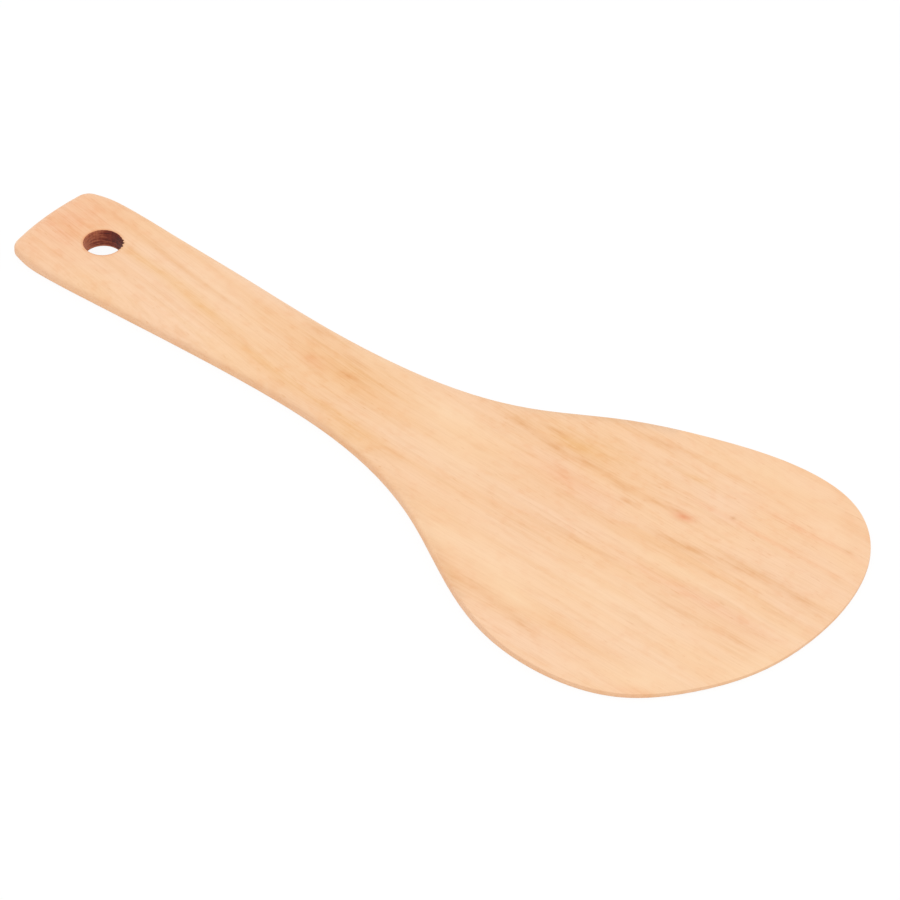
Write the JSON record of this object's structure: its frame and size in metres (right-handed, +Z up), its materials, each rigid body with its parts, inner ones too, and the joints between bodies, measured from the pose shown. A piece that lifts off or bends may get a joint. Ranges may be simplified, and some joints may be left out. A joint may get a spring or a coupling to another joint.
{
  "type": "rice paddle",
  "caption": "Flat wooden rice paddle: a broad rounded blade planed thin towards its tip, a waisted handle, and a hole near the handle's end for hanging it up.",
  "frame": {"origin": "on the flat back that the paddle lies on, under the middle of its length and width", "axes": "+X along the grain from the handle's end to the blade's tip, +Z up out of the planed top face, +Y to the left of the blade as seen from the handle"},
  "size_m": [0.25, 0.0996, 0.0054],
  "materials": {
    "paddle_wood": "matte"
  },
  "bodies": {
    "root": {"paddle": "paddle_wood"}
  },
  "joints": []
}
